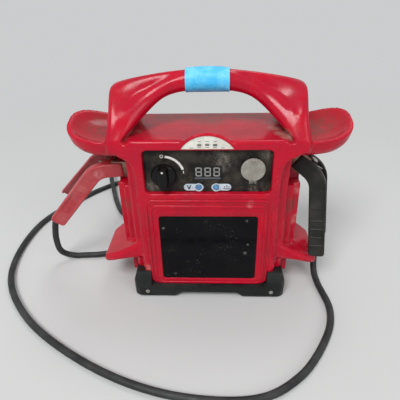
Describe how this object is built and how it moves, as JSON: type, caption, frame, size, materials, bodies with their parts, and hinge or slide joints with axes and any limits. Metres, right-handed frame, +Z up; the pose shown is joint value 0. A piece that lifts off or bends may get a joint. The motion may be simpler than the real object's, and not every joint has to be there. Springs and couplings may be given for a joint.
{
  "type": "jump starter pack",
  "caption": "Portable jump starter pack: moulded case with a loop handle, side horns that hold the spring clamps, a panel with knob, display and capped outlet, and heavy leads.",
  "frame": {"origin": "on the floor under the middle of the case, at the centre of its footprint", "axes": "+Z up, +Y to the rear, so the control panel faces -Y and +X is to the right of someone who faces it"},
  "size_m": [0.5747, 0.6619, 0.3505],
  "materials": {
    "case_red": "glossy, scuffed and dusty",
    "boot": "matte black",
    "foot_rubber": "matte",
    "panel": "matte black, grimy",
    "knob": "satin black",
    "switch_body": "matte grey",
    "display": "smoked window",
    "button_ring": "satin light grey",
    "button_blue": "satin blue",
    "cap": "dusty grey",
    "window_white": "satin white",
    "board": "satin green",
    "label": "glossy black",
    "battery": "matte dark grey",
    "steel": "plated",
    "brass": "plain",
    "inner_red": "satin",
    "clamp_red": "satin, faded",
    "clamp_black": "satin, dusty",
    "jaw": "worn copper",
    "lead": "satin black, dusty",
    "tape": "satin blue, creased"
  },
  "bodies": {
    "pack": {"front_shell": "case_red", "rear_shell": "case_red", "base": "boot", "rubber_feet": "foot_rubber", "control_panel": "panel", "power_switch": "switch_body", "display_window": "display", "display_module": "switch_body", "voltmeter_switch": "button_ring", "outlet_switch": "button_ring", "outlet_socket": "panel", "cap_hinge": "panel", "status_window": "window_white", "status_board": "board", "label_plate": "label", "battery": "battery", "battery_terminals": "steel", "terminal_bolts": "steel", "battery_pads": "foot_rubber", "circuit_board": "board", "fuse_link": "brass", "red_inner_lead": "inner_red", "black_inner_lead": "lead", "charge_inlet": "boot", "inlet_pins": "brass", "lead_glands": "lead", "shell_screws": "steel", "base_screws": "steel", "handle_tape": "tape", "red_clamp_body": "clamp_red", "red_body_jaw": "jaw", "red_clamp_pin": "steel", "red_clamp_spring": "steel", "red_lead_boot": "lead", "red_lead": "lead", "red_lead_coil": "lead", "red_lead_tail": "lead", "black_clamp_body": "clamp_black", "black_body_jaw": "jaw", "black_clamp_pin": "steel", "black_clamp_spring": "steel", "black_lead_boot": "lead", "black_lead": "lead"},
    "power_knob": {"power_knob": "knob"},
    "voltmeter_button": {"voltmeter_button": "button_blue"},
    "outlet_button": {"outlet_button": "button_blue"},
    "outlet_cap": {"outlet_cap": "cap"},
    "red_lever": {"red_clamp_lever": "clamp_red", "red_lever_jaw": "jaw"},
    "black_lever": {"black_clamp_lever": "clamp_black", "black_lever_jaw": "jaw"}
  },
  "joints": [
    {"name": "power_knob_turn", "type": "hinge", "parent": "pack", "child": "power_knob", "pos_m": [-0.062, -0.0534, 0.213], "axis": [0, 1, 0], "range_deg": [0, 90]},
    {"name": "voltmeter_button_press", "type": "slide", "parent": "pack", "child": "voltmeter_button", "axis": [0, 1, 0], "range_m": [0, 0.0012], "stiffness_N_per_m": 900, "springref_m": -0.0016},
    {"name": "outlet_button_press", "type": "slide", "parent": "pack", "child": "outlet_button", "axis": [0, 1, 0], "range_m": [0, 0.0012], "stiffness_N_per_m": 900, "springref_m": -0.0016},
    {"name": "outlet_cap_swing", "type": "hinge", "parent": "pack", "child": "outlet_cap", "pos_m": [0.063, -0.0566, 0.203], "axis": [1, 0, 0], "range_deg": [0, 110]},
    {"name": "red_clamp_open", "type": "hinge", "parent": "pack", "child": "red_lever", "pos_m": [-0.152, 0, 0.206], "axis": [0, -0.2588, 0.9659], "range_deg": [0, 20], "stiffness_Nm_per_rad": 4, "springref_deg": -28.65, "deforming": ["red_clamp_spring"]},
    {"name": "black_clamp_open", "type": "hinge", "parent": "pack", "child": "black_lever", "pos_m": [0.15102, -0.00444, 0.20422], "axis": [0.5401, -0.1447, 0.829], "range_deg": [0, 20], "stiffness_Nm_per_rad": 4, "springref_deg": -28.65, "deforming": ["black_clamp_spring"]}
  ]
}
